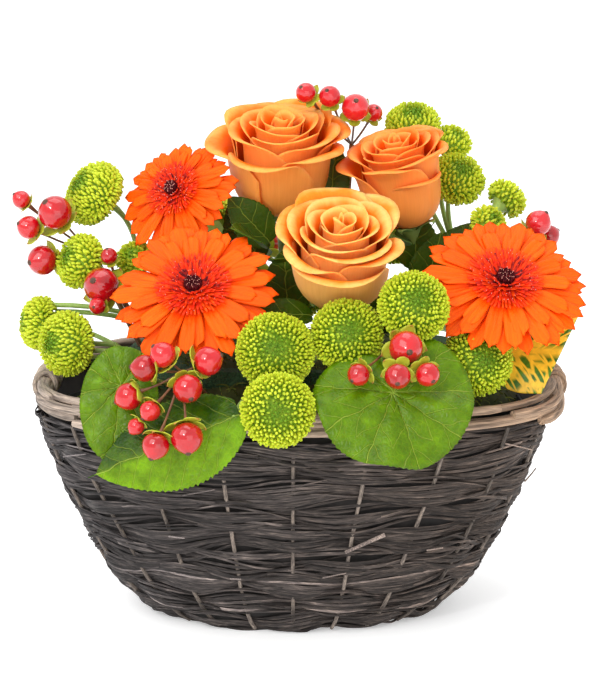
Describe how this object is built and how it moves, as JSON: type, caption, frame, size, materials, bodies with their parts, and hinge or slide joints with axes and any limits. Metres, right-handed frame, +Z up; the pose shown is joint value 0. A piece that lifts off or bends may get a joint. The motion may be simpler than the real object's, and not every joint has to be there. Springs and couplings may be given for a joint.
{
  "type": "flower basket arrangement",
  "caption": "Oval dark woven basket filled with orange roses and gerberas, lime button chrysanthemums, red berries and broad green leaves.",
  "frame": {"origin": "middle of the basket's base, on the surface it stands on", "axes": "+Z up out of the basket, -Y the front with the low leaves and berries, +X the arrangement's right seen from the front"},
  "size_m": [0.2922, 0.2466, 0.2774],
  "materials": {
    "dark_willow": "dull charcoal-brown stained split willow",
    "rim_willow": "matt grey-brown peeled willow",
    "black_plastic": "thin black liner",
    "floral_foam": "dull green floral foam",
    "moss": "olive moss",
    "rose_petal": "satin apricot orange petals, deeper orange in the folds",
    "gerbera_ray": "satin bright orange rays",
    "gerbera_disc": "dull maroon florets ringed red-orange",
    "mum_floret": "dense lime green florets",
    "berry": "glossy red berries with green sepals",
    "green_leaf": "semi-gloss green leaf with pale veins",
    "croton_leaf": "glossy green and yellow variegated leaf",
    "rose_stem": "green stem, calyx and leaflets",
    "gerbera_stem": "pale green stem",
    "mum_stem": "green branching stem"
  },
  "bodies": {
    "root": {"basket_rim": "rim_willow", "basket_wall": "dark_willow", "berries_back": "berry", "berries_front_left": "berry", "berries_front_right": "berry", "berries_left": "berry", "berries_left_low": "berry", "berries_right": "berry", "berries_top": "berry", "croton_leaf": "croton_leaf", "floral_foam": "floral_foam", "folded_leaf_front": "green_leaf", "galax_leaf_back_left": "green_leaf", "galax_leaf_back_right": "green_leaf", "galax_leaf_front_right": "green_leaf", "galax_leaf_left": "green_leaf", "gerbera_left_centre": "gerbera_disc", "gerbera_left_rays": "gerbera_ray", "gerbera_left_stem": "gerbera_stem", "gerbera_right_centre": "gerbera_disc", "gerbera_right_rays": "gerbera_ray", "gerbera_right_stem": "gerbera_stem", "gerbera_top_left_centre": "gerbera_disc", "gerbera_top_left_rays": "gerbera_ray", "gerbera_top_left_stem": "gerbera_stem", "lining_tray": "black_plastic", "moss": "moss", "mum_back_left": "mum_floret", "mum_back_low": "mum_floret", "mum_back_middle": "mum_floret", "mum_back_right": "mum_floret", "mum_front_left": "mum_floret", "mum_front_low": "mum_floret", "mum_front_middle": "mum_floret", "mum_front_right": "mum_floret", "mum_left_front": "mum_floret", "mum_left_inner": "mum_floret", "mum_left_low": "mum_floret", "mum_left_middle": "mum_floret", "mum_left_top": "mum_floret", "mum_right_back": "mum_floret", "mum_right_high": "mum_floret", "mum_right_inner": "mum_floret", "mum_right_low": "mum_floret", "mum_right_middle": "mum_floret", "mum_right_outer": "mum_floret", "mum_stems_back": "mum_stem", "mum_stems_far_left": "mum_stem", "mum_stems_front": "mum_stem", "mum_stems_left": "mum_stem", "mum_stems_right": "mum_stem", "mum_stems_top_right": "mum_stem", "rose_front_bloom": "rose_petal", "rose_front_stem": "rose_stem", "rose_left_bloom": "rose_petal", "rose_left_stem": "rose_stem", "rose_right_bloom": "rose_petal", "rose_right_stem": "rose_stem"}
  },
  "joints": []
}
